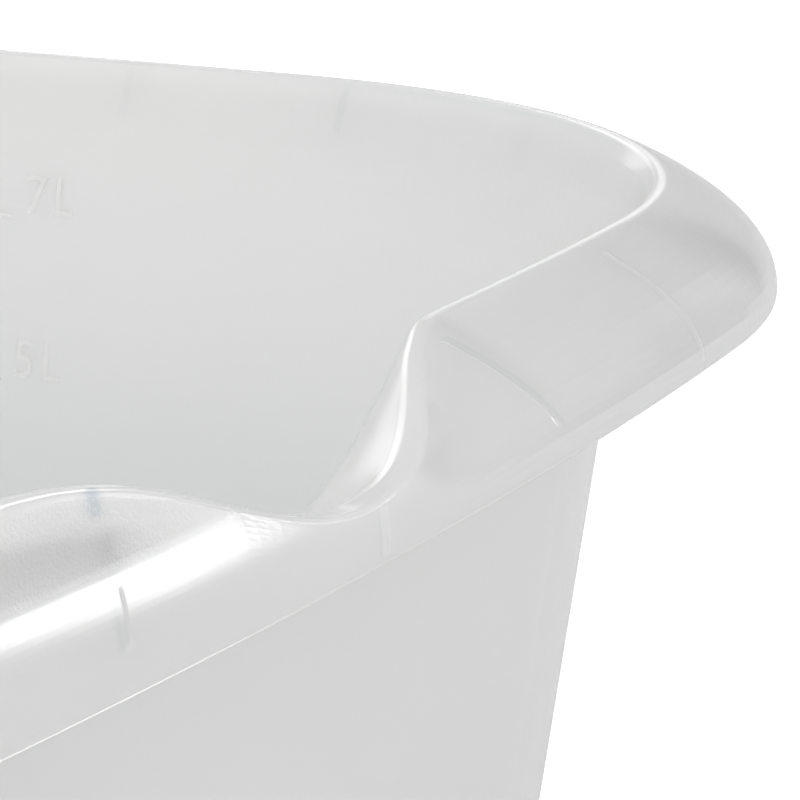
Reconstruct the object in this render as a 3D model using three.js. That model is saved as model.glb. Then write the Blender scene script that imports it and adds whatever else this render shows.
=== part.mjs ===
// Storage bowl: a rectangular, round-cornered bowl moulded in milky polypropylene.
// A wide rim flange turns down all round, gusset ribs stiffen it from below, and the middle
// of each long side carries a wave-shaped hand grip. Millimetres, +Z up, table at z = 0.
import * as THREE from 'three';

// Driving dimensions: plan of the rim's crest
const crestLength = 405;
const crestWidth = 271;
const longSideBow = 24;
const shortSideBow = 5;
const cornerRadius = 86.5;

// Driving dimensions: wall and floor
const crestHeight = 110;
const wallThickness = 2;
const wallDraft = 8.2;
const lipDepth = 22;
const lipReach = 3.4;
const floorThickness = 2.4;
const floorRadius = 14;
const footHeight = 2;
const footWidth = 4;
const footInset = 6;

// Driving dimensions: rim flange
const flangeReach = 12;
const flangeDrop = 11.7;
const flangeSkin = 1.8;
const flangeRoot = 2.2;
const plainShoulder = 0.44;

// Driving dimensions: hand grips, measured along a long side from its middle
const gripSwing = 9.4;
const swingStart = 80;
const swingEnd = 50;
const humpLift = 3.75;
const humpFlatness = 1.22;
const notchDrop = 6.5;
const notchPlace = 46;
const creaseDepth = 18;
const creaseTop = 2;
const creaseStart = 82.5;
const creaseEnd = 72.6;
const gripShoulder = 0.3;
const gripMargin = 4;

// Driving dimensions: gusset ribs
const ribThickness = 1.2;
const ribFirst = 13.9;
const ribPitch = 34.3;
const ribsPerLongHalf = 4;
const ribsPerShortHalf = 3;
const ribWallDepth = 6.5;
const longRibStop = 0.8;
const shortRibStop = 3.3;
const fanRib = 3;
const fanShift = 6.5;

// Clearance between neighbouring pieces, and the fineness of the facets
const seam = 0.3;
const ribClearance = 0.45;
const humpSteps = 7;
const swingSteps = 10;
const sideSteps = 3;
const cornerSteps = 8;
const shortSteps = 6;
const profileSteps = 4;
const floorSteps = 3;
const lipShares = [0, 1 / 3, 2 / 3];
const flareShares = [0, 0.4, 0.75, 1];
const tolerance = 1e-6;

const halfLength = crestLength / 2;
const halfWidth = crestWidth / 2;
const halfLand = wallThickness / 2;
const draftSlope = Math.tan(THREE.MathUtils.degToRad(wallDraft));
const smooth = (t) => THREE.MathUtils.smoothstep(t, 0, 1);

// Plan of the crest: four bowed sides joined by four corner arcs, all tangent to each other.
// A parallel outline keeps the centres, so every piece is placed by its offset from the crest.
const bowRadius = (half, bow) => (half * half + bow * bow) / (2 * bow);
const longRadius = bowRadius(halfLength, longSideBow);
const shortRadius = bowRadius(halfWidth, shortSideBow);

function cornerCentre() {
  const longCentre = new THREE.Vector2(0, halfWidth - longRadius);
  const shortCentre = new THREE.Vector2(halfLength - shortRadius, 0);
  const a = longRadius - cornerRadius;
  const b = shortRadius - cornerRadius;
  const across = shortCentre.clone().sub(longCentre);
  const apart = across.length();
  const along = (a * a - b * b + apart * apart) / (2 * apart);
  const aside = Math.sqrt(a * a - along * along);
  across.normalize();
  const foot = longCentre.clone().addScaledVector(across, along);
  return foot.add(new THREE.Vector2(across.y, -across.x).multiplyScalar(aside));
}

const corner = cornerCentre();
const longHalfAngle = Math.atan2(corner.x, corner.y - (halfWidth - longRadius));
const shortHalfAngle = Math.atan2(corner.y, corner.x - (halfLength - shortRadius));
const longHalf = longHalfAngle * longRadius;
const shortHalf = shortHalfAngle * shortRadius;

// A station is a place on the crest: its point, its outward direction and, on a long side,
// its distance from the middle of that side, which is where the grips are measured from.
function station(centre, radius, angle, fromMiddle = Infinity) {
  const out = new THREE.Vector2(Math.cos(angle), Math.sin(angle));
  return { point: out.clone().multiplyScalar(radius).add(centre), out, fromMiddle: Math.abs(fromMiddle) };
}

// facing is -1 for the front side and 1 for the back; u runs towards +X
function longStation(facing, u) {
  const centre = new THREE.Vector2(0, facing * (halfWidth - longRadius));
  return station(centre, longRadius, facing * (Math.PI / 2 - u / longRadius), u);
}

// facing is -1 for the left side and 1 for the right; v runs towards +Y
function shortStation(facing, v) {
  const centre = new THREE.Vector2(facing * (halfLength - shortRadius), 0);
  const angle = v / shortRadius;
  return station(centre, shortRadius, facing > 0 ? angle : Math.PI - angle);
}

function cornerStation(sideX, sideY, t) {
  const from = shortHalfAngle;
  const to = Math.PI / 2 - longHalfAngle;
  const angle = from + (to - from) * t;
  const turned = Math.atan2(sideY * Math.sin(angle), sideX * Math.cos(angle));
  return station(new THREE.Vector2(sideX * corner.x, sideY * corner.y), cornerRadius, turned);
}

// A place on an end of the bowl, v from the end's middle, carried on round the corner arc
function endStation(facing, sideY, v) {
  if (v <= shortHalf) return shortStation(facing, sideY * v);
  const arc = cornerRadius * (Math.PI / 2 - longHalfAngle - shortHalfAngle);
  return cornerStation(facing, sideY, (v - shortHalf) / arc);
}

const spread = (from, to, count) =>
  Array.from({ length: count + 1 }, (_, i) => from + ((to - from) * i) / count);
const joinRuns = (...runs) => runs.reduce((all, run) => all.concat(run.slice(all.length ? 1 : 0)), []);

// Stretches of the rim, each a list of stations from one end to the other
const gripEnd = swingStart + gripMargin;
const swingFrom = swingEnd - gripMargin;
const gripHalfPlaces = joinRuns(spread(0, swingFrom, humpSteps), spread(swingFrom, gripEnd, swingSteps));
const gripPlaces = joinRuns(gripHalfPlaces.map((u) => -u).reverse(), gripHalfPlaces);
const gripRun = (facing) => gripPlaces.map((u) => longStation(facing, u));
const sideRun = (facing, sideX) =>
  spread(gripEnd, longHalf, sideSteps).map((u) => longStation(facing, sideX * u));
const cornerRun = (sideX, sideY) => spread(0, 1, cornerSteps).map((t) => cornerStation(sideX, sideY, t));
const shortRun = (facing) => spread(-shortHalf, shortHalf, shortSteps).map((v) => shortStation(facing, v));

// The whole rim, once round counter-clockwise from the front end of the right side
const roundTheRim = joinRuns(
  shortRun(1),
  cornerRun(1, 1),
  sideRun(1, 1).reverse(),
  gripRun(1).reverse(),
  sideRun(1, -1),
  cornerRun(-1, 1).reverse(),
  shortRun(-1).reverse(),
  cornerRun(-1, -1),
  sideRun(-1, -1).reverse(),
  gripRun(-1),
  sideRun(-1, 1),
  cornerRun(1, -1).reverse(),
).slice(0, -1);

// Heights below are counted from the plain crest. The crest swings out and dips at each end of
// a grip, and rises to a hump in the middle, which is a little flatter on top than a plain wave.
const swingShare = (u) => smooth((swingStart - u) / (swingStart - swingEnd));
const crestOffset = (u) => gripSwing * swingShare(u);

function crestLevel(u) {
  if (u >= notchPlace) return -notchDrop * smooth((swingStart - u) / (swingStart - notchPlace));
  const turn = Math.PI * Math.pow(u / notchPlace, humpFlatness);
  return -notchDrop + ((humpLift + notchDrop) * (1 + Math.cos(turn))) / 2;
}

// The wall leans out with its draft, curves out further as a lip below the crest, and inside a
// grip flares from a crease to the swung-out crest.
function wallLine(z) {
  const level = Math.min(z, 0);
  const lip = Math.max(0, (level + lipDepth) / lipDepth);
  return -halfLand - lipReach + level * draftSlope + lipReach * lip * lip;
}

function creaseLevel(u) {
  const t = THREE.MathUtils.clamp((creaseStart - u) / (creaseStart - creaseEnd), 0, 1);
  return -creaseTop - (creaseDepth - creaseTop) * t;
}

function innerFace(u, z) {
  const crease = creaseLevel(u);
  const top = crestLevel(u);
  const share = THREE.MathUtils.clamp((z - crease) / (top - crease), 0, 1);
  return wallLine(z) + share * (crestOffset(u) - halfLand - wallLine(top));
}

const outerFace = (u, z) => innerFace(u, z) + wallThickness;

// Flange profiles: a curve from the wall's top edge that leaves at a slant and ends upright
const bezier = (a, b, c, t) => (1 - t) * (1 - t) * a + 2 * t * (1 - t) * b + t * t * c;

function shoulderLevel(u) {
  const share = THREE.MathUtils.lerp(plainShoulder, gripShoulder, swingShare(u));
  return crestLevel(u) - share * (crestLevel(u) + flangeDrop);
}

function flangeTop(u, t) {
  const start = crestOffset(u) + halfLand + seam;
  return [bezier(start, flangeReach, flangeReach, t),
    bezier(crestLevel(u), shoulderLevel(u), -flangeDrop, t)];
}

function flangeUnder(u, t, clear = 0) {
  const rootLevel = crestLevel(u) - flangeRoot - clear;
  const edge = flangeReach - flangeSkin - clear;
  return [bezier(outerFace(u, rootLevel) + seam, edge, edge, t),
    bezier(rootLevel, shoulderLevel(u) - flangeSkin - clear, -flangeDrop, t)];
}

const place = (at, offset, z) =>
  new THREE.Vector3(at.point.x + at.out.x * offset, at.point.y + at.out.y * offset, crestHeight + z);

// Mesh helpers. A body is a list of points and triangles, turned so that its faces point out.
function body(points, triangles) {
  let volume = 0;
  for (const [a, b, c] of triangles) volume += points[a].dot(points[b].clone().cross(points[c]));
  const faces = volume < 0 ? triangles.map(([a, b, c]) => [a, c, b]) : triangles;
  const geometry = new THREE.BufferGeometry().setFromPoints(points);
  geometry.setIndex(faces.flat());
  geometry.computeVertexNormals();
  return geometry;
}

// Joins rows of points with quads; wrapRows and wrapAlong close the grid on itself
function grid(rows, wrapRows, wrapAlong) {
  const count = rows[0].length;
  const triangles = [];
  const lastRow = wrapRows ? rows.length : rows.length - 1;
  const lastAlong = wrapAlong ? count : count - 1;
  for (let r = 0; r < lastRow; r += 1) {
    const next = (r + 1) % rows.length;
    for (let i = 0; i < lastAlong; i += 1) {
      const j = (i + 1) % count;
      triangles.push([r * count + i, r * count + j, next * count + j]);
      triangles.push([r * count + i, next * count + j, next * count + i]);
    }
  }
  return { points: rows.flat(), triangles };
}

// A closed section carried along a stretch of the rim. The section gives [offset, z] pairs.
function sweep(stations, section, closed) {
  const sections = stations.map((at) => section(at.fromMiddle));
  const rows = stations.map((at, i) => sections[i].map(([offset, z]) => place(at, offset, z)));
  const { points, triangles } = grid(rows, closed, true);
  if (!closed) {
    const last = (rows.length - 1) * rows[0].length;
    const cap = (pairs) =>
      THREE.ShapeUtils.triangulateShape(pairs.map(([x, y]) => new THREE.Vector2(x, y)), []);
    const turn = THREE.ShapeUtils.isClockWise(sections[0].map(([x, y]) => new THREE.Vector2(x, y)));
    for (const [a, b, c] of cap(sections[0])) triangles.push(turn ? [a, b, c] : [a, c, b]);
    for (const [a, b, c] of cap(sections[sections.length - 1])) {
      triangles.push(turn ? [last + a, last + c, last + b] : [last + a, last + b, last + c]);
    }
  }
  return body(points, triangles);
}

// Bowl shell: rings up the inside, over the flat land of the crest and down the outside,
// closed by the floor's two flat faces.
const floorLevel = footHeight + floorThickness - crestHeight;

// Rings of the round between floor and wall, for a face at this offset from the wall's inside
function floorRound(thickness, level, radius) {
  const draft = THREE.MathUtils.degToRad(wallDraft);
  const meet = wallLine(level) + thickness;
  const reach = radius * Math.tan((Math.PI / 2 - draft) / 2);
  return spread(-Math.PI / 2, -draft, floorSteps).map((angle) => () => [
    meet - reach + radius * Math.cos(angle), level + radius + radius * Math.sin(angle)]);
}

const lipRing = (share) => (u) => {
  const z = -lipDepth + share * (creaseLevel(u) + lipDepth);
  return [innerFace(u, z), z];
};
const flareRing = (share) => (u) => {
  const z = THREE.MathUtils.lerp(creaseLevel(u), crestLevel(u), share);
  return [innerFace(u, z), z];
};
const wallRings = lipShares.map(lipRing).concat(flareShares.map(flareRing));
const thicken = (ring) => (u) => {
  const [offset, z] = ring(u);
  return [offset + wallThickness, z];
};

function bowlShell() {
  const underside = floorLevel - floorThickness;
  const rings = [
    ...floorRound(0, floorLevel, floorRadius),
    ...wallRings,
    ...wallRings.map(thicken).reverse(),
    ...floorRound(wallThickness, underside, floorRadius + wallThickness).reverse(),
  ];
  const rows = rings.map((ring) => roundTheRim.map((at) => place(at, ...ring(at.fromMiddle))));
  const { points, triangles } = grid(rows, false, true);
  const count = roundTheRim.length;
  const last = (rows.length - 1) * count;
  const top = points.push(new THREE.Vector3(0, 0, crestHeight + floorLevel)) - 1;
  const bottom = points.push(new THREE.Vector3(0, 0, crestHeight + underside)) - 1;
  for (let i = 0; i < count; i += 1) {
    const j = (i + 1) % count;
    triangles.push([top, j, i]);
    triangles.push([bottom, last + i, last + j]);
  }
  return body(points, triangles);
}

// Foot ring: a low standing rim under the floor's flat face
function footRing() {
  const underside = floorLevel - floorThickness;
  const flatEdge = floorRound(wallThickness, underside, floorRadius + wallThickness)[0]()[0];
  const outer = flatEdge - footInset;
  const inner = outer - footWidth;
  const section = [[inner, -crestHeight], [outer, -crestHeight], [outer, underside], [inner, underside]];
  return sweep(roundTheRim, () => section, true);
}

// Rim flange: the turned-down skin, from its root on the wall to its lower edge and back
function flangeSection(u) {
  const shares = spread(0, 1, profileSteps);
  return [...shares.map((t) => flangeTop(u, t)), ...shares.reverse().map((t) => flangeUnder(u, t))];
}

// Gusset rib: a flat plate between the wall and the underside of the flange. lean shifts its
// outer end along the rim, so that a rib can stand square to a crest that swings out.
function gussetRib(stationAt, u, lean, stop) {
  const root = u - lean;
  const skirtLevel = -flangeDrop + stop;
  let low = 0;
  let high = 1;
  while (high - low > tolerance) {
    const t = (low + high) / 2;
    if (flangeUnder(stationAt(u).fromMiddle, t, ribClearance)[1] > skirtLevel) low = t;
    else high = t;
  }
  const rim = spread(0, low, profileSteps).map((t) => {
    const at = stationAt(root + (lean * t) / low);
    return place(at, ...flangeUnder(at.fromMiddle, t, ribClearance));
  });
  const rootAt = stationAt(root);
  const rootPlace = rootAt.fromMiddle;
  const rootLevel = crestLevel(rootPlace) - flangeRoot - ribClearance;
  const wall = spread(crestLevel(rootPlace) - ribWallDepth, rootLevel, 2).slice(0, -1)
    .map((z) => place(rootAt, outerFace(rootPlace, z) + ribClearance, z));
  const outline = [...rim, ...wall];
  const along = rim[rim.length - 1].clone().sub(wall[0]).setZ(0).normalize();
  const flat = outline.map((p) => new THREE.Vector2(p.clone().sub(wall[0]).dot(along), p.z));
  const side = new THREE.Vector3(-along.y, along.x, 0).multiplyScalar(ribThickness / 2);
  const rows = [-1, 1].map((way) => outline.map((p) => p.clone().addScaledVector(side, way)));
  const { points, triangles } = grid(rows, false, true);
  const count = outline.length;
  const turn = THREE.ShapeUtils.isClockWise(flat);
  for (const [a, b, c] of THREE.ShapeUtils.triangulateShape(flat, [])) {
    triangles.push(turn ? [a, b, c] : [a, c, b]);
    triangles.push(turn ? [count + a, count + c, count + b] : [count + a, count + b, count + c]);
  }
  return body(points, triangles);
}

// Assembly. Ribs stop alternately near the flange's lower edge and a little higher up.
const ribStop = (i) => (i % 2 ? shortRibStop : longRibStop);
const plastic = () => new THREE.MeshStandardMaterial({ color: 0xdcdedd, roughness: 0.22, metalness: 0 });
const bowl = new THREE.Group();

function add(name, geometry) {
  const mesh = new THREE.Mesh(geometry, plastic());
  mesh.name = name;
  bowl.add(mesh);
}

add('bowl_shell', bowlShell());
add('foot_ring', footRing());

for (const [name, facing] of [['front', -1], ['back', 1]]) {
  add(`${name}_grip`, sweep(gripRun(facing), flangeSection, false));
  for (const [end, sideX] of [['left', -1], ['right', 1]]) {
    add(`${name}_${end}_rim`, sweep(sideRun(facing, sideX), flangeSection, false));
    add(`${name}_${end}_corner_rim`, sweep(cornerRun(sideX, facing), flangeSection, false));
    for (let i = 1; i <= ribsPerLongHalf; i += 1) {
      const lean = i === fanRib ? fanShift : 0;
      const u = ribFirst + (i - 1) * ribPitch;
      const rib = gussetRib((along) => longStation(facing, sideX * along), u, lean, ribStop(i));
      add(`${name}_${end}_rib_${i}`, rib);
    }
  }
}

for (const [name, facing] of [['left', -1], ['right', 1]]) {
  add(`${name}_rim`, sweep(shortRun(facing), flangeSection, false));
  for (const [half, sideY] of [['front', -1], ['back', 1]]) {
    for (let i = 1; i <= ribsPerShortHalf; i += 1) {
      const v = (i - 0.5) * ribPitch;
      const rib = gussetRib((along) => endStation(facing, sideY, along), v, 0, ribStop(i));
      add(`${name}_${half}_rib_${i}`, rib);
    }
  }
}

export default bowl;
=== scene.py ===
"""Storage bowl in milky polypropylene: one moulding with a ribbed, down-turned rim, two wave-shaped
hand grips and a raised litre scale. Lengths are millimetres here and metres in the finished meshes."""
import math

import bmesh
import bpy
from mathutils import Matrix, Vector


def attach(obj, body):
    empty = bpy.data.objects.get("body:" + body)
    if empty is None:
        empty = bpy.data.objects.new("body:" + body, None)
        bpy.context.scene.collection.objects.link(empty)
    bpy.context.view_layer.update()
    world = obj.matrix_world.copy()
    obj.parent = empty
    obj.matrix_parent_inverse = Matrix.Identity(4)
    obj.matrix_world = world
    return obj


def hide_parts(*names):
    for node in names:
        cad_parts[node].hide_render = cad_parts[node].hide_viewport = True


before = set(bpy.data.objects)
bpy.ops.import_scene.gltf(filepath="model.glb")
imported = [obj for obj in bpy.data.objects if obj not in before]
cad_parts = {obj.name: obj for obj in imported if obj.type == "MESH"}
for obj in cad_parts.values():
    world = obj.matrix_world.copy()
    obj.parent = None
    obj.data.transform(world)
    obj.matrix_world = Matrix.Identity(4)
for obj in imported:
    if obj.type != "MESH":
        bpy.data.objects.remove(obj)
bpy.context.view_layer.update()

MM = 0.001

# Edges that bend more than this are left sharp
SHARP = math.radians(22.0)

# Points of neighbouring quarters that are closer than this become one
SEAM = 0.005

# Sizes of the moulding, the same as the solids', and last the roundings that only this model has.
# Each becomes a named input of the node trees.
BOWL = {
    "Crest length": 405.0,
    "Crest width": 271.0,
    "Long side bow": 24.0,
    "Short side bow": 5.0,
    "Corner radius": 86.5,
    "Crest height": 110.0,
    "Wall": 2.0,
    "Draft": math.radians(8.2),
    "Lip depth": 22.0,
    "Lip reach": 3.4,
    "Floor": 2.4,
    "Floor radius": 14.0,
    "Foot height": 2.0,
    "Foot width": 4.0,
    "Foot inset": 6.0,
    "Flange reach": 12.0,
    "Flange drop": 11.7,
    "Flange skin": 1.8,
    "Flange root": 2.2,
    "Plain shoulder": 0.44,
    "Grip shoulder": 0.39,
    "Land in": 0.9,
    "Land out": 0.15,
    "Grip land out": 1.0,
    "Pad foot": 2.65,
    "Pad lean": 0.116,
    "Grip swing": 9.4,
    "Swing start": 80.0,
    "Swing end": 50.0,
    "Brow start": 83.0,
    "Brow end": 52.0,
    "Hump lift": 3.75,
    "Hump flatness": 1.22,
    "Notch drop": 6.5,
    "Notch place": 46.0,
    "Crease depth": 18.0,
    "Crease top": 2.0,
    "Crease start": 82.5,
    "Crease end": 72.6,
    "Land edge": 0.45,
    "Lower edge": 0.8,
    "Root fillet": 1.6,
    "Pad hollow": 1.2,
}

# Share of the flange's underside that the fillet at its root takes up
ROOT_SHARE = 0.14

# Gusset ribs: sizes, how many stand on half of a side, and which one stands askew
RIBS = {
    "Rib thickness": 1.2,
    "Rib first": 13.9,
    "Rib pitch": 34.3,
    "Rib wall depth": 6.5,
    "Long rib stop": 0.8,
    "Short rib stop": 3.3,
    "Fan shift": 6.5,
    "Rib bite": 0.25,
}
LONG_RIBS = 4
SHORT_RIBS = 3
FAN_RIB = 2

# Litre marks on the inside of the right end wall: figure, depth under the crest, where it starts
# and where its tick starts, both counted towards the back, and the lean of the wall there
MARKS = (
    ("7L", 20.6, -2.85, 3.1, 10.2),
    ("5L", 42.7, -2.45, 3.4, 8.2),
)
MARK_SIZE = 7.4
MARK_SPACING = 1.25
MARK_RAISE = 0.03
MARK_FINENESS = 4
TICK_LENGTH = 4.0
TICK_WIDTH = 0.5
TICK_DROP = 0.9

# Points of the marks that are closer than this become one
WELD = 0.001

# Fineness of the moulding round a quarter of its rim: columns, and how far along each stretch goes
GRIP_COLUMNS, GRIP_STRETCH = 30, 44.0
SWING_COLUMNS, SWING_STRETCH = 72, 84.0
CORNER_COLUMNS = 110

# Fineness of its section: rows in each piece, from the middle of the floor over the rim to the
# middle of the underside
ROWS = {
    "floor": 2,
    "inside_round": 6,
    "inside_wall": 2,
    "inside_lip": 8,
    "inside_flare": 12,
    "crest_in": 6,
    "land": 2,
    "crest_out": 6,
    "pad": 6,
    "skirt": 14,
    "edge_out": 6,
    "edge": 1,
    "edge_in": 4,
    "underside": 8,
    "root": 5,
    "outside_flare": 5,
    "outside_lip": 4,
    "outside_wall": 2,
    "outside_round": 6,
    "sole": 2,
    "foot_out": 1,
    "foot": 1,
    "foot_in": 1,
    "sole_middle": 2,
}

# A row that two pieces share stays with the first one: the next begins this part of a row later
ROW_HAIR = 0.01

# Points along and across the patch that a rib is bent from
RIB_GRID = (9, 3)

# The plastic: how far light spreads in it, and how opaque the moulding and the marks are
SCATTER = 4.0
BODY_ALPHA = 0.88
MARK_ALPHA = 0.5

# Colours of the plastic: the milky base and its clouds, then what is painted over them: painted shade, painted
# light and painted highlights, the pads' grain, and last the frost of the marks
MILK = (0.83, 0.838, 0.834)
CLOUD_TINT = (0.85, 0.854, 0.846)
PAINTED_SHADE_TINT = (0.68, 0.70, 0.72)
PAINTED_WALL_LIGHT_TINT = (0.97, 0.965, 0.94)
PAINTED_WALL_SHADE_TINT = (0.72, 0.73, 0.735)
PAINTED_RIB_TOP_SHADE_TINT = (0.52, 0.58, 0.63)
PAINTED_FACET_LIGHT_TINT = (0.99, 0.99, 0.98)
PAINTED_EDGE_LIGHT_TINT = (1.0, 0.995, 0.96)
PAINTED_RIB_LIGHT_TINT = (0.99, 0.99, 0.985)
GRAIN_AND_PAINTED_LIGHT_TINT = (0.96, 0.96, 0.95)
PAINTED_PAD_LIGHT_TINT = (0.995, 0.995, 0.985)
FROST = (0.99, 0.99, 0.98)

# Noise: how often its features come in a metre, for clouds, grain of the pads and frost of the marks
CLOUD_SCALE = 30.0
GRAIN_SCALE = 3600.0
FROST_SCALE = 3000.0

# Camera, solved from the rim's outline in the photograph
CAMERA_PLACE = Vector((-147.23, -261.65, 165.63)) * MM
CAMERA_HEADING = math.radians(30.29)
CAMERA_TILT = math.radians(13.5)
CAMERA_LENS = 144.1
CAMERA_SENSOR = 36.0
CAMERA_NEAR = 0.01

# Lamp: where it aims, how far off it stands and in which direction, its size and brightness
LAMP_AIM = Vector((15.0, -147.0, 105.0)) * MM
LAMP_DISTANCE = 1.2
LAMP_HEADING = math.radians(186.0)
LAMP_RISE = math.radians(26.0)
LAMP_WIDTH, LAMP_HEIGHT = 0.9, 0.6
LAMP_RADIANCE = 2.4

# Surround as matt surfaces see it: its level, at the horizon, and how much is lost up to the zenith
DAYLIGHT = 1.05
HORIZON = 1.15
ZENITH_LOSS = 0.7

# Surround as glossy surfaces see it: its plain level, then what each stretch adds or takes off
GLOSS_LEVEL = 0.62
LEFT_LEVEL = 0.9
WINDOW_LEVEL = 1.2
SKYLIGHT_LEVEL = 1.1
SOFTBOX_LEVEL = 12.0
DOOR_LOSS = 0.55
SKIRTING_LOSS = 0.38

# Table, in metres: half its side, its matt white, its glow and how much of that reflections find,
# and a strip of it in front of the bowl that is bright in reflections as a painted pool of light, with soft
# front and right edges
TABLE_HALF = 6.0
TABLE_WHITE = 0.85
TABLE_GLOW = 0.62
TABLE_GLOSS = 0.2
STRIP_FRONT = (-0.172, -0.160)
STRIP_RIGHT = (0.21, 0.13)
PAINTED_POOL_LEVEL = 1.6


class Flow:
    """A node's output socket that sums can be written with; each operator adds a Math node."""

    def __init__(self, graph, socket):
        self.graph = graph
        self.socket = socket

    def __add__(self, other):
        return self.graph.math("ADD", self, other)

    def __radd__(self, other):
        return self.graph.math("ADD", other, self)

    def __sub__(self, other):
        return self.graph.math("SUBTRACT", self, other)

    def __rsub__(self, other):
        return self.graph.math("SUBTRACT", other, self)

    def __mul__(self, other):
        return self.graph.math("MULTIPLY", self, other)

    def __rmul__(self, other):
        return self.graph.math("MULTIPLY", other, self)

    def __truediv__(self, other):
        return self.graph.math("DIVIDE", self, other)

    def __rtruediv__(self, other):
        return self.graph.math("DIVIDE", other, self)

    def __neg__(self):
        return self.graph.math("MULTIPLY", self, -1.0)

    def __gt__(self, other):
        return self.graph.math("GREATER_THAN", self, other)

    def __lt__(self, other):
        return self.graph.math("LESS_THAN", self, other)


class Graph:
    """A node tree being written, for geometry and for materials."""

    def __init__(self, tree):
        self.tree = tree

    def feed(self, flow, socket):
        self.tree.links.new(flow.socket, socket)

    def add(self, kind, settings=None, inputs=None):
        node = self.tree.nodes.new(kind)
        for name, value in (settings or {}).items():
            setattr(node, name, value)
        for name, value in (inputs or {}).items():
            if isinstance(value, Flow):
                self.feed(value, node.inputs[name])
            else:
                node.inputs[name].default_value = value
        return node

    def flow(self, kind, settings=None, inputs=None, output=0):
        """A node's output as a flow."""
        return Flow(self, self.add(kind, settings, inputs).outputs[output])

    def math(self, operation, *values):
        return self.flow("ShaderNodeMath", {"operation": operation}, dict(enumerate(values)))

    def split(self, vector):
        """The three parts of a vector."""
        parts = self.add("ShaderNodeSeparateXYZ", None, {0: vector})
        return [Flow(self, socket) for socket in parts.outputs]

    def smooth(self, value, low, high):
        """0 at low, 1 at high, with a soft start and end; low may be the larger."""
        return self.flow("ShaderNodeMapRange", {"interpolation_type": "SMOOTHSTEP"},
                         {"Value": value, "From Min": low, "From Max": high})

    def band(self, value, start, full, fade, end):
        """0 up to start, 1 from full to fade and 0 again from end on."""
        return self.smooth(value, start, full) * self.smooth(value, end, fade)

    def hump(self, value, place, width):
        """1 at a place, falling off softly over about a width on both sides."""
        away = (value - place) / width
        return self.math("EXPONENT", away * away * -1.0)

    def share(self, value, low, high):
        """0 at low, 1 at high, straight between and held outside."""
        return self.flow("ShaderNodeMapRange", {"clamp": True},
                         {"Value": value, "From Min": low, "From Max": high})

    def either(self, chosen, yes, no):
        return self.flow("GeometryNodeSwitch", {"input_type": "FLOAT"},
                         {"Switch": chosen, "True": yes, "False": no})

    def store(self, geometry, label, value):
        """Geometry that keeps a value at each point under a name."""
        return self.flow("GeometryNodeStoreNamedAttribute", {"data_type": "FLOAT", "domain": "POINT"},
                         {"Geometry": geometry, "Name": label, "Value": value})


def mix(a, b, t):
    return a + (b - a) * t


def bend(a, b, c, t):
    """Quadratic curve from a to c that heads for b on the way."""
    return mix(mix(a, b, t), mix(b, c, t), t)


def first_root(graph, a, b, c):
    """Root of a t t + b t + c that lies nearest to zero, for a falling curve."""
    return c * 2.0 / (graph.math("SQRT", b * b - a * c * 4.0) - b)


class Reckoner:
    """Does a graph's sums on plain numbers, for sizes that the marks and materials need."""

    WAYS = {
        "SQRT": math.sqrt,
        "TANGENT": math.tan,
        "ARCTAN2": math.atan2,
        "MINIMUM": min,
        "MAXIMUM": max,
    }

    def math(self, operation, *values):
        return self.WAYS[operation](*values)


class Bowl:
    """The moulding's laws as node sums: plan of the crest, wall, grips and flange.
    Heights count from the plain crest, offsets from the crest line outwards."""

    def __init__(self, graph, sizes):
        self.graph = graph
        self.sizes = sizes
        self.half_length = sizes["Crest length"] * 0.5
        self.half_width = sizes["Crest width"] * 0.5
        self.half_land = sizes["Wall"] * 0.5
        self.slope = graph.math("TANGENT", sizes["Draft"])
        self.long_radius = self.bow_radius(self.half_length, sizes["Long side bow"])
        self.short_radius = self.bow_radius(self.half_width, sizes["Short side bow"])
        self.long_centre = self.half_width - self.long_radius
        self.short_centre = self.half_length - self.short_radius
        self.place_corner()

    def bow_radius(self, half, bow):
        return (half * half + bow * bow) / (bow * 2.0)

    def place_corner(self):
        """Centre of the corner arc that is tangent to both side arcs, and where it meets them."""
        g = self.graph
        radius = self.sizes["Corner radius"]
        a = self.long_radius - radius
        b = self.short_radius - radius
        x, y = self.short_centre, -self.long_centre
        apart = g.math("SQRT", x * x + y * y)
        along = (a * a - b * b + apart * apart) / (apart * 2.0)
        aside = g.math("SQRT", a * a - along * along)
        self.corner_x = (x * along + y * aside) / apart
        self.corner_y = self.long_centre + (y * along - x * aside) / apart
        self.long_angle = g.math("ARCTAN2", self.corner_x, self.corner_y - self.long_centre)
        short_angle = g.math("ARCTAN2", self.corner_y, self.corner_x - self.short_centre)
        self.long_half = self.long_angle * self.long_radius
        self.short_half = short_angle * self.short_radius
        self.corner_end = self.long_half + (math.pi / 2 - self.long_angle - short_angle) * radius
        self.quarter = self.corner_end + self.short_half

    def plan(self, s, offset):
        """Point at distance s along the crest from the middle of a long side, moved out by offset."""
        g = self.graph
        on_corner = s > self.long_half
        on_short = s > self.corner_end

        def pick(long, corner, short):
            return g.either(on_short, short, g.either(on_corner, corner, long))

        radius = self.sizes["Corner radius"]
        angle = pick(s / self.long_radius, self.long_angle + (s - self.long_half) / radius,
                     math.pi / 2 - (self.quarter - s) / self.short_radius)
        reach = pick(self.long_radius, radius, self.short_radius) + offset
        x = pick(0.0, self.corner_x, self.short_centre) + reach * g.math("SINE", angle)
        y = pick(self.long_centre, self.corner_y, 0.0) + reach * g.math("COSINE", angle)
        return x, y

    def wall_line(self, z):
        """Inner face of the wall, which flares in a lip under the crest."""
        g = self.graph
        level = g.math("MINIMUM", z, 0.0)
        lip = g.math("MAXIMUM", level / self.sizes["Lip depth"] + 1.0, 0.0)
        reach = self.sizes["Lip reach"]
        return level * self.slope - self.half_land - reach + reach * lip * lip


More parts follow.
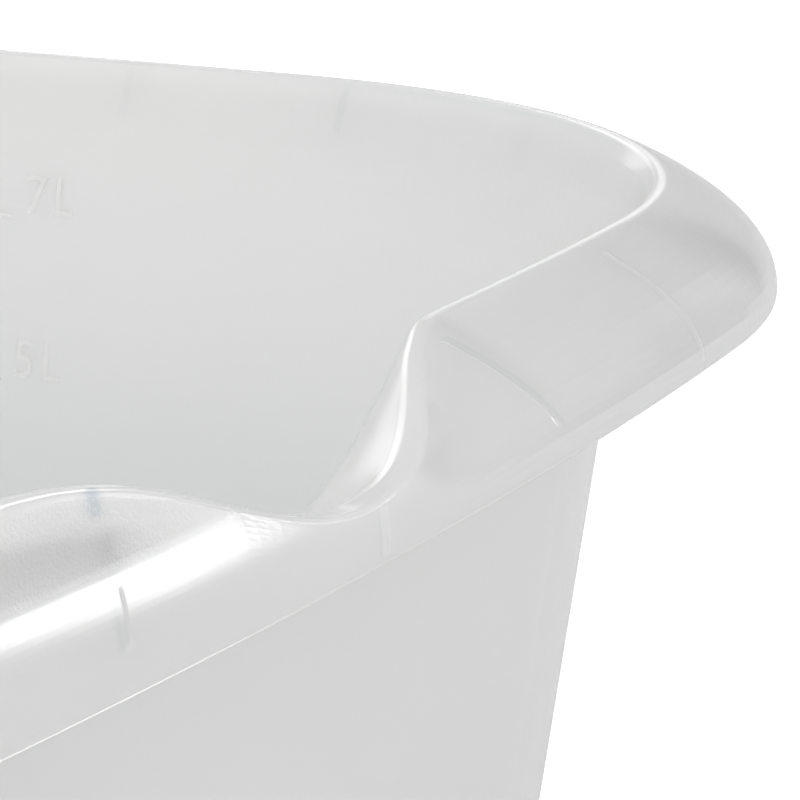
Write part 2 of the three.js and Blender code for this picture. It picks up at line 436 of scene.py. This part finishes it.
class Station:
    """The section of the moulding at distance s along the crest."""

    def __init__(self, bowl, s):
        g, sizes = bowl.graph, bowl.sizes
        self.bowl = bowl
        swing = g.smooth(s, sizes["Swing start"], sizes["Swing end"])
        self.offset = sizes["Grip swing"] * swing
        notch, place = sizes["Notch drop"], sizes["Notch place"]
        fall = notch * g.smooth(s, sizes["Swing start"], place)
        turn = g.math("POWER", g.share(s, 0.0, place), sizes["Hump flatness"]) * math.pi
        wave = g.math("COSINE", turn) * 0.5 + 0.5
        self.level = (sizes["Hump lift"] + notch) * wave - fall
        dive = g.share(s, sizes["Crease start"], sizes["Crease end"])
        self.crease = -mix(sizes["Crease top"], sizes["Crease depth"], dive)
        plain = g.smooth(s, sizes["Crease end"], sizes["Brow start"])
        self.crest_in = self.offset - sizes["Land in"] * (plain + g.smooth(s, place, 0.0))
        self.flare = self.crest_in - bowl.wall_line(self.level)
        drop, reach, pad_foot = sizes["Flange drop"], sizes["Flange reach"], sizes["Pad foot"]
        low = sizes["Lower edge"] - drop
        foot_level = g.math("MINIMUM", self.level, -pad_foot)
        grip_shoulder = sizes["Grip shoulder"] * (pad_foot - drop) - pad_foot
        cut = first_root(g, low - pad_foot - grip_shoulder * 2.0, (grip_shoulder + pad_foot) * 2.0,
                         -pad_foot - foot_level)
        grip_x = bend(sizes["Grip swing"] + sizes["Grip land out"], reach, reach, cut)
        self.brow = g.either(s < place, foot_level, self.level)
        gripped = g.smooth(s, sizes["Brow start"], sizes["Brow end"])
        self.skirt_x = mix(sizes["Land out"], grip_x, gripped)
        self.crest_out = self.skirt_x - sizes["Pad lean"] * (self.level - self.brow)
        plain_shoulder = self.level - sizes["Plain shoulder"] * (self.level + drop)
        self.shoulder = mix(plain_shoulder, mix(grip_shoulder, low, cut), swing)
        self.root = self.level - sizes["Flange root"]

    def inner(self, z):
        return self.bowl.wall_line(z) + self.bowl.graph.share(z, self.crease, self.level) * self.flare

    def outer(self, z):
        return self.inner(z) + self.bowl.sizes["Wall"]

    def under(self, t, bite=0.0):
        """Underside of the flange, from its root on the wall at t = 0 to its lower edge at t = 1."""
        sizes = self.bowl.sizes
        edge = sizes["Flange reach"] - sizes["Flange skin"] + bite
        root = self.root + bite
        return (bend(self.outer(root), edge, edge, t),
                bend(root, self.shoulder - sizes["Flange skin"] + bite, -sizes["Flange drop"], t))


def first_row(name):
    """Row at which a piece of the section starts."""
    names = list(ROWS)
    return float(sum(ROWS[other] for other in names[:names.index(name)]))


def section_laws(bowl, at):
    """The laws of the section's pieces; a law gives offset, height and, on the two floors, how far
    from the bowl's middle the point lies."""
    g, sizes = bowl.graph, bowl.sizes
    wall, radius, draft = sizes["Wall"], sizes["Floor radius"], sizes["Draft"]
    drop, reach, skin = sizes["Flange drop"], sizes["Flange reach"], sizes["Flange skin"]
    land, edge, fillet = sizes["Land edge"], sizes["Lower edge"], sizes["Root fillet"]
    lip = -sizes["Lip depth"]
    table = -sizes["Crest height"]
    underside = table + sizes["Foot height"]
    floor = underside + sizes["Floor"]

    def floor_round(level, thick, rounding):
        inset = rounding * g.math("TANGENT", math.pi / 4 - draft * 0.5)
        centre = bowl.wall_line(level) + thick - inset

        def law(t):
            angle = mix(-math.pi / 2, -draft, t)
            return (centre + rounding * g.math("COSINE", angle),
                    level + rounding + rounding * g.math("SINE", angle))
        return law

    inside_round = floor_round(floor, 0.0, radius)
    outside_round = floor_round(underside, wall, radius + wall)

    def rise(face, low, high):
        return lambda t: (face(mix(low, high, t)), mix(low, high, t))

    crest_in, crest_out = at.crest_in, at.crest_out
    lean_x = reach - at.skirt_x
    lean_z = at.shoulder - at.brow
    lean = g.math("SQRT", lean_x * lean_x + lean_z * lean_z)
    start_x = at.skirt_x + lean_x / lean * land
    start_z = at.brow + lean_z / lean * land
    pad = at.level - at.brow
    level_top = at.level - land
    upright = g.share(pad, 0.0, land)
    pad_x = mix(start_x, crest_out, upright)
    pad_z = mix(start_z, level_top, upright)
    inner_edge = reach - skin
    root_x, root_z = at.under(ROOT_SHARE)
    below_root = at.root - fillet
    middle = g.math("MINIMUM", at.crease, below_root - land)
    flat_edge = outside_round(0.0)[0]
    foot_out = flat_edge - sizes["Foot inset"]
    foot_in = foot_out - sizes["Foot width"]

    def underside_law(t):
        x, z = at.under(mix(1.0, ROOT_SHARE, t))
        return x, g.math("MAXIMUM", z, edge - drop)

    def skirt(t):
        return bend(start_x, reach, reach, t), bend(start_z, at.shoulder, edge - drop, t)

    # The pad runs into the skirt in a hollow curve, which takes up at most half of a low pad
    hollow = g.math("MINIMUM", sizes["Pad hollow"] / g.math("MAXIMUM", pad, land), 0.5)
    skirt_start = hollow * pad / (lean * 2.0)
    hollow_x, hollow_z = skirt(skirt_start)

    def pad_law(t):
        straight, curved = g.share(t, 0.0, 0.5), g.share(t, 0.5, 1.0)

        def way(top, foot, end):
            turn = mix(foot, top, hollow)
            return mix(top, turn, straight) + bend(turn, foot, end, curved) - turn

        return way(pad_x, start_x, hollow_x), way(pad_z, start_z, hollow_z)

    return {
        "floor": lambda t: (inside_round(0.0)[0], floor, t),
        "inside_round": inside_round,
        "inside_wall": rise(at.inner, inside_round(1.0)[1], lip),
        "inside_lip": rise(at.inner, lip, at.crease),
        "inside_flare": rise(at.inner, at.crease, level_top),
        "crest_in": lambda t: (bend(at.inner(level_top), crest_in, crest_in + land, t),
                               bend(level_top, at.level, at.level, t)),
        "land": lambda t: (mix(crest_in + land, crest_out - land, t), at.level),
        "crest_out": lambda t: (bend(crest_out - land, crest_out, pad_x, t),
                                bend(at.level, at.level, pad_z, t)),
        "pad": pad_law,
        "skirt": lambda t: skirt(mix(skirt_start, 1.0, t)),
        "edge_out": lambda t: (bend(reach, reach, reach - edge, t),
                               bend(edge - drop, -drop, -drop, t)),
        "edge": lambda t: (mix(reach - edge, inner_edge + edge, t), -drop),
        "edge_in": lambda t: (bend(inner_edge + edge, inner_edge, inner_edge, t),
                              bend(-drop, -drop, edge - drop, t)),
        "underside": underside_law,
        "root": lambda t: (bend(root_x, at.outer(at.root), at.outer(below_root), t),
                           bend(root_z, at.root, below_root, t)),
        "outside_flare": rise(at.outer, below_root, middle),
        "outside_lip": rise(at.outer, middle, lip),
        "outside_wall": rise(at.outer, lip, outside_round(1.0)[1]),
        "outside_round": lambda t: outside_round(1.0 - t),
        "sole": lambda t: (mix(flat_edge, foot_out, t), underside),
        "foot_out": lambda t: (foot_out, mix(underside, table, t)),
        "foot": lambda t: (mix(foot_out, foot_in, t), table),
        "foot_in": lambda t: (foot_in, mix(table, underside, t)),
        "sole_middle": lambda t: (foot_in, underside, 1.0 - t),
    }


def in_scene(name, data):
    """A new object in the scene."""
    made = bpy.data.objects.new(name, data)
    bpy.context.scene.collection.objects.link(made)
    return made


def frozen(maker):
    """An object's finished shape as a plain mesh; the object itself goes."""
    shown = maker.evaluated_get(bpy.context.evaluated_depsgraph_get())
    mesh = bpy.data.meshes.new_from_object(shown)
    bpy.data.objects.remove(maker)
    return mesh


def new_tree(name, sizes):
    """A geometry tree with one named input for each size."""
    tree = bpy.data.node_groups.new(name, "GeometryNodeTree")
    tree.is_modifier = True
    tree.interface.new_socket("Geometry", in_out="OUTPUT", socket_type="NodeSocketGeometry")
    for label in sizes:
        tree.interface.new_socket(label, in_out="INPUT", socket_type="NodeSocketFloat")
    graph = Graph(tree)
    group = graph.add("NodeGroupInput")
    return graph, {label: Flow(graph, group.outputs[label]) for label in sizes}


def finish_tree(graph, geometry, material):
    """Mirrors a quarter to the whole bowl, closes its seams and hands it out with its material."""
    whole = graph.add("GeometryNodeJoinGeometry")
    for x in (1.0, -1.0):
        for y in (1.0, -1.0):
            part = graph.flow("GeometryNodeTransform", None,
                              {"Geometry": geometry, "Scale": (x * MM, y * MM, MM)})
            if x * y < 0.0:
                part = graph.flow("GeometryNodeFlipFaces", None, {"Mesh": part})
            graph.feed(part, whole.inputs[0])
    closed = graph.flow("GeometryNodeMergeByDistance", None,
                        {"Geometry": Flow(graph, whole.outputs[0]), "Distance": SEAM * MM})
    bent = graph.flow("GeometryNodeInputMeshEdgeAngle") < SHARP
    smooth = graph.flow("GeometryNodeSetShadeSmooth", {"domain": "EDGE"},
                        {"Geometry": closed, "Shade Smooth": bent})
    painted = graph.flow("GeometryNodeSetMaterial", None, {"Geometry": smooth, "Material": material})
    out = graph.add("NodeGroupOutput")
    graph.feed(painted, out.inputs[0])


def grown(name, tree, sizes):
    """Runs a geometry tree once and keeps its result as a plain mesh object at the origin."""
    seed = in_scene(name + "_seed", bpy.data.meshes.new(name + "_seed"))
    modifier = seed.modifiers.new("Shape", "NODES")
    modifier.node_group = tree
    for item in tree.interface.items_tree:
        if item.in_out == "INPUT":
            modifier[item.identifier] = sizes[item.name]
    mesh = frozen(seed)
    mesh.name = name
    return in_scene(name, mesh)


def unit_grid(graph, columns, rows):
    """A flat grid, and where a point lies on it, 0 to 1 each way."""
    grid = graph.flow("GeometryNodeMeshGrid", None, {
        "Size X": 1.0, "Size Y": 1.0, "Vertices X": columns, "Vertices Y": rows})
    x, y, _ = graph.split(graph.flow("GeometryNodeInputPosition"))
    return grid, x + 0.5, y + 0.5


def moulding_tree(material):
    """A quarter of the moulding: a grid with stations across and the section's rows along."""
    graph, sizes = new_tree("moulding", BOWL)
    bowl = Bowl(graph, sizes)
    stretches = (
        (GRIP_COLUMNS, GRIP_STRETCH),
        (SWING_COLUMNS, SWING_STRETCH),
        (CORNER_COLUMNS, bowl.quarter),
    )
    columns = sum(count for count, end in stretches)
    total = sum(ROWS.values())
    grid, across, along = unit_grid(graph, columns + 1, total + 1)
    column = across * float(columns)
    s, start, done = 0.0, 0.0, 0.0
    for count, end in stretches:
        s = s + graph.share(column, start, start + count) * (end - done)
        start, done = start + count, end
    row = along * float(total)
    offset = height = middle = None
    for name, law in section_laws(bowl, Station(bowl, s)).items():
        start = first_row(name)
        point = law(graph.share(row, start, start + ROWS[name]))
        share = point[2] if len(point) > 2 else 1.0
        if offset is None:
            offset, height, middle = point[0], point[1], share
        else:
            here = row > start + ROW_HAIR
            offset = graph.either(here, point[0], offset)
            height = graph.either(here, point[1], height)
            middle = graph.either(here, share, middle)
    x, y = bowl.plan(s, offset)
    spot = graph.flow("ShaderNodeCombineXYZ", None,
                      {"X": x * middle, "Y": y * middle, "Z": height + sizes["Crest height"]})
    for label, value in (("along", s), ("row", row)):
        grid = graph.store(grid, label, value)
    shaped = graph.flow("GeometryNodeSetPosition", None, {"Geometry": grid, "Position": spot})
    finish_tree(graph, shaped, material)
    return graph.tree


def gusset_rib_tree(material):
    """The ribs of a quarter: one flat patch for each, bent to its place and thickened to a plate."""
    graph, sizes = new_tree("gusset_ribs", {**BOWL, **RIBS})
    bowl = Bowl(graph, sizes)
    patch, out, down = unit_grid(graph, *RIB_GRID)
    for label, value in (("out", out), ("down", down)):
        patch = graph.store(patch, label, value)
    row = graph.flow("GeometryNodeMeshLine", {"mode": "OFFSET"}, {"Count": LONG_RIBS + SHORT_RIBS})
    row = graph.store(row, "rib", graph.flow("GeometryNodeInputIndex"))
    ribs = graph.flow("GeometryNodeInstanceOnPoints", None, {"Points": row, "Instance": patch})
    ribs = graph.flow("GeometryNodeRealizeInstances", None, {"Geometry": ribs})

    def kept(label):
        return graph.flow("GeometryNodeInputNamedAttribute", {"data_type": "FLOAT"}, {"Name": label})

    rib, out, down = kept("rib"), kept("out"), kept("down")
    pitch = sizes["Rib pitch"]
    on_long = sizes["Rib first"] + rib * pitch
    on_short = bowl.quarter - (rib - LONG_RIBS + 0.5) * pitch
    end = graph.either(rib < LONG_RIBS - 0.5, on_long, on_short)
    fanned = graph.math("COMPARE", rib, float(FAN_RIB), 0.5)
    s = end - fanned * sizes["Fan shift"] * (1.0 - out)
    odd = graph.math("MODULO", rib, 2.0)
    stop = mix(sizes["Short rib stop"], sizes["Long rib stop"], odd)
    at = Station(bowl, s)
    bite = sizes["Rib bite"]
    drop = sizes["Flange drop"]
    root = at.root + bite
    brow = at.shoulder - sizes["Flange skin"] + bite
    a = root - brow * 2.0 - drop
    b = (brow - root) * 2.0
    c = root + drop - stop
    reach = first_root(graph, a, b, c)
    top_x, top_z = at.under(out * reach, bite)
    end_x, end_z = at.under(reach, bite)
    wall_z = at.level - sizes["Rib wall depth"]
    low_x = mix(at.outer(wall_z) - bite, end_x, out)
    low_z = mix(wall_z, end_z, out)
    x, y = bowl.plan(s, mix(top_x, low_x, down))
    spot = graph.flow("ShaderNodeCombineXYZ", None, {
        "X": x, "Y": y, "Z": mix(top_z, low_z, down) + sizes["Crest height"]})
    ribs = graph.flow("GeometryNodeSetPosition", None, {"Geometry": ribs, "Position": spot})
    thick = sizes["Rib thickness"]
    back = graph.flow("ShaderNodeVectorMath", {"operation": "SCALE"},
                      {0: graph.flow("GeometryNodeInputNormal"), "Scale": thick * -0.5})
    ribs = graph.flow("GeometryNodeSetPosition", None, {"Geometry": ribs, "Offset": back})
    plates = graph.add("GeometryNodeJoinGeometry")
    far = graph.flow("GeometryNodeExtrudeMesh", {"mode": "FACES"},
                     {"Mesh": ribs, "Offset Scale": thick, "Individual": False})
    near = graph.flow("GeometryNodeFlipFaces", None, {"Mesh": ribs})
    for face in (far, near):
        graph.feed(face, plates.inputs[0])
    finish_tree(graph, Flow(graph, plates.outputs[0]), material)
    return graph.tree


def litre_scale(material):
    """Raised figures and ticks on the inside of the right end wall, read from inside the bowl."""
    built = bmesh.new()
    bowl = Bowl(Reckoner(), BOWL)
    for words, depth, start, tick, lean in MARKS:
        text = bpy.data.curves.new("litre_figure", "FONT")
        text.body = words
        text.size = MARK_SIZE
        text.extrude = MARK_RAISE
        text.space_character = MARK_SPACING
        text.resolution_u = MARK_FINENESS
        figure = frozen(in_scene("litre_figure", text))
        angle = math.radians(lean)
        wall = bowl.half_length + bowl.wall_line(-depth)
        level = BOWL["Crest height"] - depth
        up = Vector((math.sin(angle), 0.0, math.cos(angle)))
        out = Vector((-math.cos(angle), 0.0, math.sin(angle)))
        turn = Matrix((Vector((0.0, -1.0, 0.0)), up, out)).transposed().to_4x4()

        def placed(y):
            return Matrix.Scale(MM, 4) @ Matrix.Translation((wall, y, level)) @ turn

        figure.transform(placed(start))
        built.from_mesh(figure)
        bpy.data.meshes.remove(figure)
        middle = Vector((TICK_LENGTH * 0.5, TICK_WIDTH * 0.5 - TICK_DROP, 0.0))
        size = Matrix.Diagonal((TICK_LENGTH, TICK_WIDTH, MARK_RAISE * 2.0, 1.0))
        bmesh.ops.create_cube(built, size=1.0, matrix=placed(tick) @ Matrix.Translation(middle) @ size)
    bmesh.ops.remove_doubles(built, verts=built.verts, dist=WELD * MM)
    for face in built.faces:
        face.smooth = False
    mesh = bpy.data.meshes.new("litre_scale")
    built.to_mesh(mesh)
    built.free()
    mesh.materials.append(material)
    return in_scene("litre_scale", mesh)


def new_material(name):
    material = bpy.data.materials.new(name)
    material.use_nodes = True
    return material, Graph(material.node_tree), material.node_tree.nodes["Principled BSDF"]


class NearestRib:
    """The rib nearest to a point of the rim: how far off it is along the rim, and which one it is.
    The skirt's share says how far down the skirt the point lies."""

    def __init__(self, graph, along, skirt):
        quarter = Bowl(Reckoner(), BOWL).quarter
        pitch, first = RIBS["Rib pitch"], RIBS["Rib first"]
        number = graph.math("MINIMUM", graph.math("ROUND", (along - first) / pitch), LONG_RIBS - 1.0)
        fanned = graph.math("COMPARE", number, float(FAN_RIB), 0.5)
        long_gap = along - first - number * pitch + fanned * RIBS["Fan shift"] * (1.0 - skirt)
        self.from_end = quarter - along
        end_number = graph.math("FLOOR", self.from_end / pitch)
        end_gap = self.from_end - (end_number + 0.5) * pitch
        self.on_end = along > first + (LONG_RIBS - 0.5) * pitch
        self.gap = mix(long_gap * (1.0 - fanned * 2.0), end_gap, self.on_end)
        self.odd = graph.math("MODULO", mix(number, end_number, self.on_end), 2.0)

        # The last rib of an end stands behind the corner's flange and isn't drawn
        hidden = (end_number > SHORT_RIBS - 1.5) * self.on_end
        self.shown = 1.0 - hidden
        self.aside = graph.math("ABSOLUTE", self.gap + 0.3) + hidden * pitch


def plastic_material():
    """Milky polypropylene: soft light through the wall, gloss outside, ribs painted through the skirt
    as pale lines and dark strips, painted light and shade on walls, edges and pads, and a fine
    grain on the grips' pads. Places are rows of the section and millimetres along the crest,
    across a rib or under the crest."""
    material, graph, shader = new_material("milky_polypropylene")
    shader.inputs["Subsurface Weight"].default_value = 1.0
    shader.inputs["Subsurface Radius"].default_value = (1.0, 1.0, 1.0)
    shader.inputs["Subsurface Scale"].default_value = SCATTER * MM
    shader.inputs["Alpha"].default_value = BODY_ALPHA

    def kept(label):
        return graph.flow("ShaderNodeAttribute", {"attribute_name": label}, None, "Fac")

    spot = graph.flow("ShaderNodeTexCoord", None, None, "Object")
    height = graph.split(spot)[2] / MM
    depth = BOWL["Crest height"] - height
    along, row = kept("along"), kept("row")

    def past(name):
        return row - first_row(name)

    skirt = past("skirt") / ROWS["skirt"]
    rib = NearestRib(graph, along, skirt)
    pitch, notch = RIBS["Rib pitch"], BOWL["Notch place"]
    gripped = along < BOWL["Swing end"]

    # Painted light and shade: a rib behind the skirt is painted as a plate with one bright edge and a bright
    # foot, both painted highlights, and a dark strip on its other side as painted shade; every other plate is
    # painted light, the rest painted dark
    stop = mix(mix(0.78, 0.64, gripped), 0.96, rib.odd)
    length = graph.smooth(skirt, -0.03, 0.06) * graph.smooth(skirt - stop, 0.03, -0.03) * rib.shown
    plate = graph.smooth(rib.aside, 0.75, 0.55) * length
    foot = graph.hump(rib.gap, 0.0, 0.45) * graph.hump(skirt - stop, -0.02, 0.035) * rib.shown
    painted_rib_light = graph.hump(rib.gap, 0.25, 0.17) * length + foot * 0.7 + plate * rib.odd * 0.3
    painted_rib_light = graph.math("MINIMUM", painted_rib_light, 1.0)
    painted_rib_shade = graph.hump(rib.gap, -1.05, 0.3) * length * 0.5 + plate * (1.0 - rib.odd) * 0.5

    # Painted shade: inside, ribs and flange behind the wall take some light off its top, which is painted
    # darker, as is the rib's dark strip on the skirt
    below_crest = row < first_row("crest_in")
    inside = (row > first_row("inside_lip")) * below_crest
    shaded = graph.smooth(rib.aside, 0.75, 0.5) * graph.smooth(depth, 7.5, 6.0) * rib.on_end
    shaded = graph.math("MAXIMUM", shaded, graph.smooth(depth, 1.6, 0.3) * rib.on_end) * inside
    painted_shade = graph.math("MINIMUM", painted_rib_shade + shaded * 0.5, 1.0)

    # Painted shade and light: on a grip the first rib's top is painted dark on the pad, and the sloping cut
    # beside it is painted light
    painted_rib_top_shade = graph.hump(rib.gap, -0.85, 1.0) * (along < pitch) * graph.band(past("pad"), -4.0, -2.0, 0.8, 1.7)
    painted_facet_light = graph.band(along - notch, -6.0, 0.0, 8.0, 20.0) * inside * graph.smooth(depth, 22.0, 14.0)

    # Painted highlights: the lower edge, the inner edge of the crest and the hump's outer edge are painted as
    # pale lines
    edge = graph.band(past("edge_out"), 0.6, 1.6, 5.0, 6.0)
    rim = graph.band(past("crest_in"), 0.5, 2.0, 4.5, 6.0) * (along < BOWL["Brow start"])
    brow = graph.band(past("crest_out"), 0.5, 2.0, 4.0, 5.5)
    brow = brow * graph.smooth(along, notch, notch - 8.0) * (1.0 - painted_rib_top_shade)
    painted_edge_light = graph.math("MAXIMUM", edge, graph.math("MAXIMUM", rim * 0.6, brow))

    # Painted light and shade: the end walls are painted lighter at the top, and all walls are painted darker
    # low down
    bowl_side = (row > first_row("inside_wall")) * below_crest
    painted_top_light = bowl_side * graph.smooth(depth, 22.0, 4.0) * graph.smooth(rib.from_end, 70.0, 10.0)
    painted_low_shade = bowl_side * graph.smooth(depth, 24.0, 60.0)

    # The pad has a grain of its own, lighter specks, laid over a little painted light across the whole pad,
    # and between the middle ribs its lower part is painted lighter as painted light
    pad = graph.band(past("pad"), 0.0, 0.5, 3.5, 6.0) * gripped
    grain = graph.flow("ShaderNodeTexNoise", None,
                       {"Vector": spot, "Scale": GRAIN_SCALE, "Detail": 2.0, "Roughness": 0.6})
    grain_and_painted_light = 0.15 + graph.smooth(grain, 0.5, 0.68) * 0.35
    painted_pad_light = graph.band(past("pad"), 0.9, 2.2, 5.0, 8.0) * graph.smooth(along, 22.0, 13.0)

    cloud = graph.flow("ShaderNodeTexNoise", None, {"Vector": spot, "Scale": CLOUD_SCALE, "Detail": 3.0})
    # Layers in the order they are painted: the clouds are the plastic's own, the pads' layer is grain with
    # some painted light, and the rest are painted light, painted highlights and painted shade
    layers = (
        (CLOUD_TINT, cloud),
        (PAINTED_SHADE_TINT, painted_shade * 0.5),
        (PAINTED_WALL_LIGHT_TINT, painted_top_light * 0.5),
        (PAINTED_WALL_SHADE_TINT, painted_low_shade * 0.5),
        (PAINTED_RIB_TOP_SHADE_TINT, painted_rib_top_shade * 0.9),
        (PAINTED_FACET_LIGHT_TINT, painted_facet_light * 0.9),
        (PAINTED_EDGE_LIGHT_TINT, painted_edge_light),
        (PAINTED_RIB_LIGHT_TINT, painted_rib_light),
        (GRAIN_AND_PAINTED_LIGHT_TINT, pad * grain_and_painted_light),
        (PAINTED_PAD_LIGHT_TINT, painted_pad_light * 0.9),
    )
    colour = (*MILK, 1.0)
    for tint, share in layers:
        colour = graph.flow("ShaderNodeMix", {"data_type": "RGBA"}, {0: share, 6: colour, 7: (*tint, 1.0)}, 2)
    graph.feed(colour, shader.inputs["Base Color"])
    graph.feed(0.13 + pad * 0.2 + cloud * 0.04, shader.inputs["Roughness"])
    bump = graph.flow("ShaderNodeBump", None, {
        "Strength": 0.6, "Distance": 0.1 * MM, "Height": grain * pad * 0.6 + painted_rib_light * 0.5})
    graph.feed(bump, shader.inputs["Normal"])
    return material


def frosted_material():
    """The same plastic with a frosted face, for the raised marks."""
    material, graph, shader = new_material("frosted_polypropylene")
    shader.inputs["Base Color"].default_value = (*FROST, 1.0)
    shader.inputs["Alpha"].default_value = MARK_ALPHA
    spot = graph.flow("ShaderNodeTexCoord", None, None, "Object")
    frost = graph.flow("ShaderNodeTexNoise", None, {"Vector": spot, "Scale": FROST_SCALE, "Detail": 2.0})
    graph.feed(0.45 + frost * 0.15, shader.inputs["Roughness"])
    return material


def ray_kinds(graph):
    """Whether a ray comes from the camera, from a reflection or through a surface, each 0 or 1."""
    path = graph.add("ShaderNodeLightPath")
    return [Flow(graph, path.outputs[f"Is {kind} Ray"]) for kind in ("Camera", "Glossy", "Transmission")]


def softbox(graph, heading, rise):
    """How much of the large softbox a reflection finds that leaves the bowl in this direction.
    Its foot slopes up towards the left."""
    foot = graph.math("MAXIMUM", (-0.63 - heading) * 1.2, 0.0)
    wide = graph.band(heading, -1.05, -0.85, -0.60, -0.53)
    return wide * graph.smooth(rise - foot, -0.10, 0.04) * graph.smooth(rise, 0.95, 0.75)


def floor_material():
    """White table, dim in reflections apart from two painted glows: a strip in front of the bowl, a
    painted pool of light, and, far off, a glow that stands in for the lowest part of the large softbox."""
    material, graph, _ = new_material("white_table")
    material.node_tree.nodes.clear()
    camera, glossy, through = ray_kinds(graph)
    seen = graph.math("MAXIMUM", graph.math("MAXIMUM", camera, glossy * TABLE_GLOSS), through)
    x, y, _ = graph.split(graph.flow("ShaderNodeTexCoord", None, None, "Object"))
    painted_pool = graph.smooth(y, *STRIP_FRONT) * graph.smooth(x, *STRIP_RIGHT)
    right, back = x - LAMP_AIM.x, y - LAMP_AIM.y
    away = graph.math("SQRT", right * right + back * back)
    painted_softbox_glow = softbox(graph, graph.math("ARCTAN2", back, right), -LAMP_AIM.z / away)
    painted_table_glow = (painted_pool * PAINTED_POOL_LEVEL + painted_softbox_glow * SOFTBOX_LEVEL) * glossy
    white = graph.flow("ShaderNodeEmission", None,
                       {"Color": (1, 1, 1, 1), "Strength": seen * TABLE_GLOW + painted_table_glow})
    matte = graph.flow("ShaderNodeBsdfDiffuse", None, {"Color": (TABLE_WHITE, TABLE_WHITE, TABLE_WHITE, 1)})
    both = graph.flow("ShaderNodeAddShader", None, {0: white, 1: matte})
    graph.feed(both, graph.add("ShaderNodeOutputMaterial").inputs["Surface"])
    return material


def make_stage():
    mesh = bpy.data.meshes.new("table")
    corners = ((-1, -1), (1, -1), (1, 1), (-1, 1))
    mesh.from_pydata([(x * TABLE_HALF, y * TABLE_HALF, 0) for x, y in corners], [], [(0, 1, 2, 3)])
    mesh.materials.append(floor_material())
    table = in_scene("table", mesh)


def make_world():
    """White surround. Reflections find more in it: a lighter stretch on the left with a window and
    a skylight, a large softbox in front on the right, and a door and a skirting that are darker.
    Headings count from the right end towards the back, rises from the horizon, both in radians."""
    world = bpy.data.worlds.new("studio")
    bpy.context.scene.world = world
    world.use_nodes = True
    graph = Graph(world.node_tree)
    world.node_tree.nodes.clear()
    camera, glossy, through = ray_kinds(graph)
    seen = graph.math("MAXIMUM", graph.math("MAXIMUM", camera, glossy), through)
    x, y, z = graph.split(graph.flow("ShaderNodeTexCoord", None, None, "Generated"))
    heading = graph.math("ARCTAN2", y, x)
    rise = graph.math("ARCSINE", z)
    late = graph.math("MAXIMUM", heading - 0.5, 0.0)
    window = graph.band(heading, 0.34, 0.40, 0.68, 0.76)
    window = window * graph.smooth(rise, 0.150, 0.160) * graph.smooth(rise + late * 1.2, 0.29, 0.22)
    skylight = graph.smooth(heading - rise * 0.5, 0.43, 0.50) * graph.smooth(heading, 1.15, 1.02)
    skylight = skylight * graph.band(rise, 0.16, 0.26, 0.58, 0.70)
    door = graph.smooth(heading, -0.09, 0.10) * graph.smooth(heading - rise * 0.67, 0.064, 0.044)
    door = door * graph.smooth(rise, 0.365, 0.345)
    skirting = graph.band(heading, -0.42, -0.36, -0.14, -0.08)
    skirting = skirting * graph.smooth(rise - heading * 1.2, 0.515, 0.475)
    left = graph.band(heading, 0.66, 0.78, 0.93, 1.02)
    gloss = GLOSS_LEVEL + left * LEFT_LEVEL - door * DOOR_LOSS - skirting * SKIRTING_LOSS
    gloss = gloss + window * WINDOW_LEVEL + skylight * SKYLIGHT_LEVEL
    gloss = gloss + softbox(graph, heading, rise) * SOFTBOX_LEVEL
    soft = DAYLIGHT * (HORIZON - graph.math("MAXIMUM", z, 0.0) * ZENITH_LOSS)
    level = mix(mix(soft, 1.0, seen), gloss, glossy)
    light = graph.flow("ShaderNodeBackground", None, {"Color": (1, 1, 1, 1), "Strength": level})
    graph.feed(light, graph.add("ShaderNodeOutputWorld").inputs["Surface"])


def direction(heading, rise):
    flat = math.cos(rise)
    return Vector((math.cos(heading) * flat, math.sin(heading) * flat, math.sin(rise)))


def looking(place, way):
    """Pose of a lamp or camera that looks along a direction."""
    return Matrix.LocRotScale(place, way.to_track_quat("-Z", "Y"), None)


def make_lamp():
    """Softbox on the left that faces the front grip."""
    data = bpy.data.lights.new("left_softbox", "AREA")
    data.shape = "RECTANGLE"
    data.size = LAMP_WIDTH
    data.size_y = LAMP_HEIGHT
    data.energy = LAMP_RADIANCE * math.pi * LAMP_WIDTH * LAMP_HEIGHT
    way = direction(LAMP_HEADING, LAMP_RISE)
    in_scene("left_softbox", data).matrix_world = looking(LAMP_AIM + way * LAMP_DISTANCE, -way)


def make_camera():
    data = bpy.data.cameras.new("camera")
    data.lens = CAMERA_LENS
    data.sensor_width = CAMERA_SENSOR
    data.clip_start = CAMERA_NEAR
    camera = in_scene("camera", data)
    camera.matrix_world = looking(CAMERA_PLACE, direction(CAMERA_HEADING, -CAMERA_TILT))
    bpy.context.scene.camera = camera


bpy.context.scene.view_settings.view_transform = "Standard"
make_camera()
make_stage()
make_world()
make_lamp()
plastic = plastic_material()

moulding = grown("moulding", moulding_tree(plastic), BOWL)
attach(moulding, "root")
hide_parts(*[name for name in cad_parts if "_rib_" not in name])

gusset_ribs = grown("gusset_ribs", gusset_rib_tree(plastic), {**BOWL, **RIBS})
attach(gusset_ribs, "root")
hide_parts(*[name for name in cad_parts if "_rib_" in name])

marks = litre_scale(frosted_material())
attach(marks, "root")
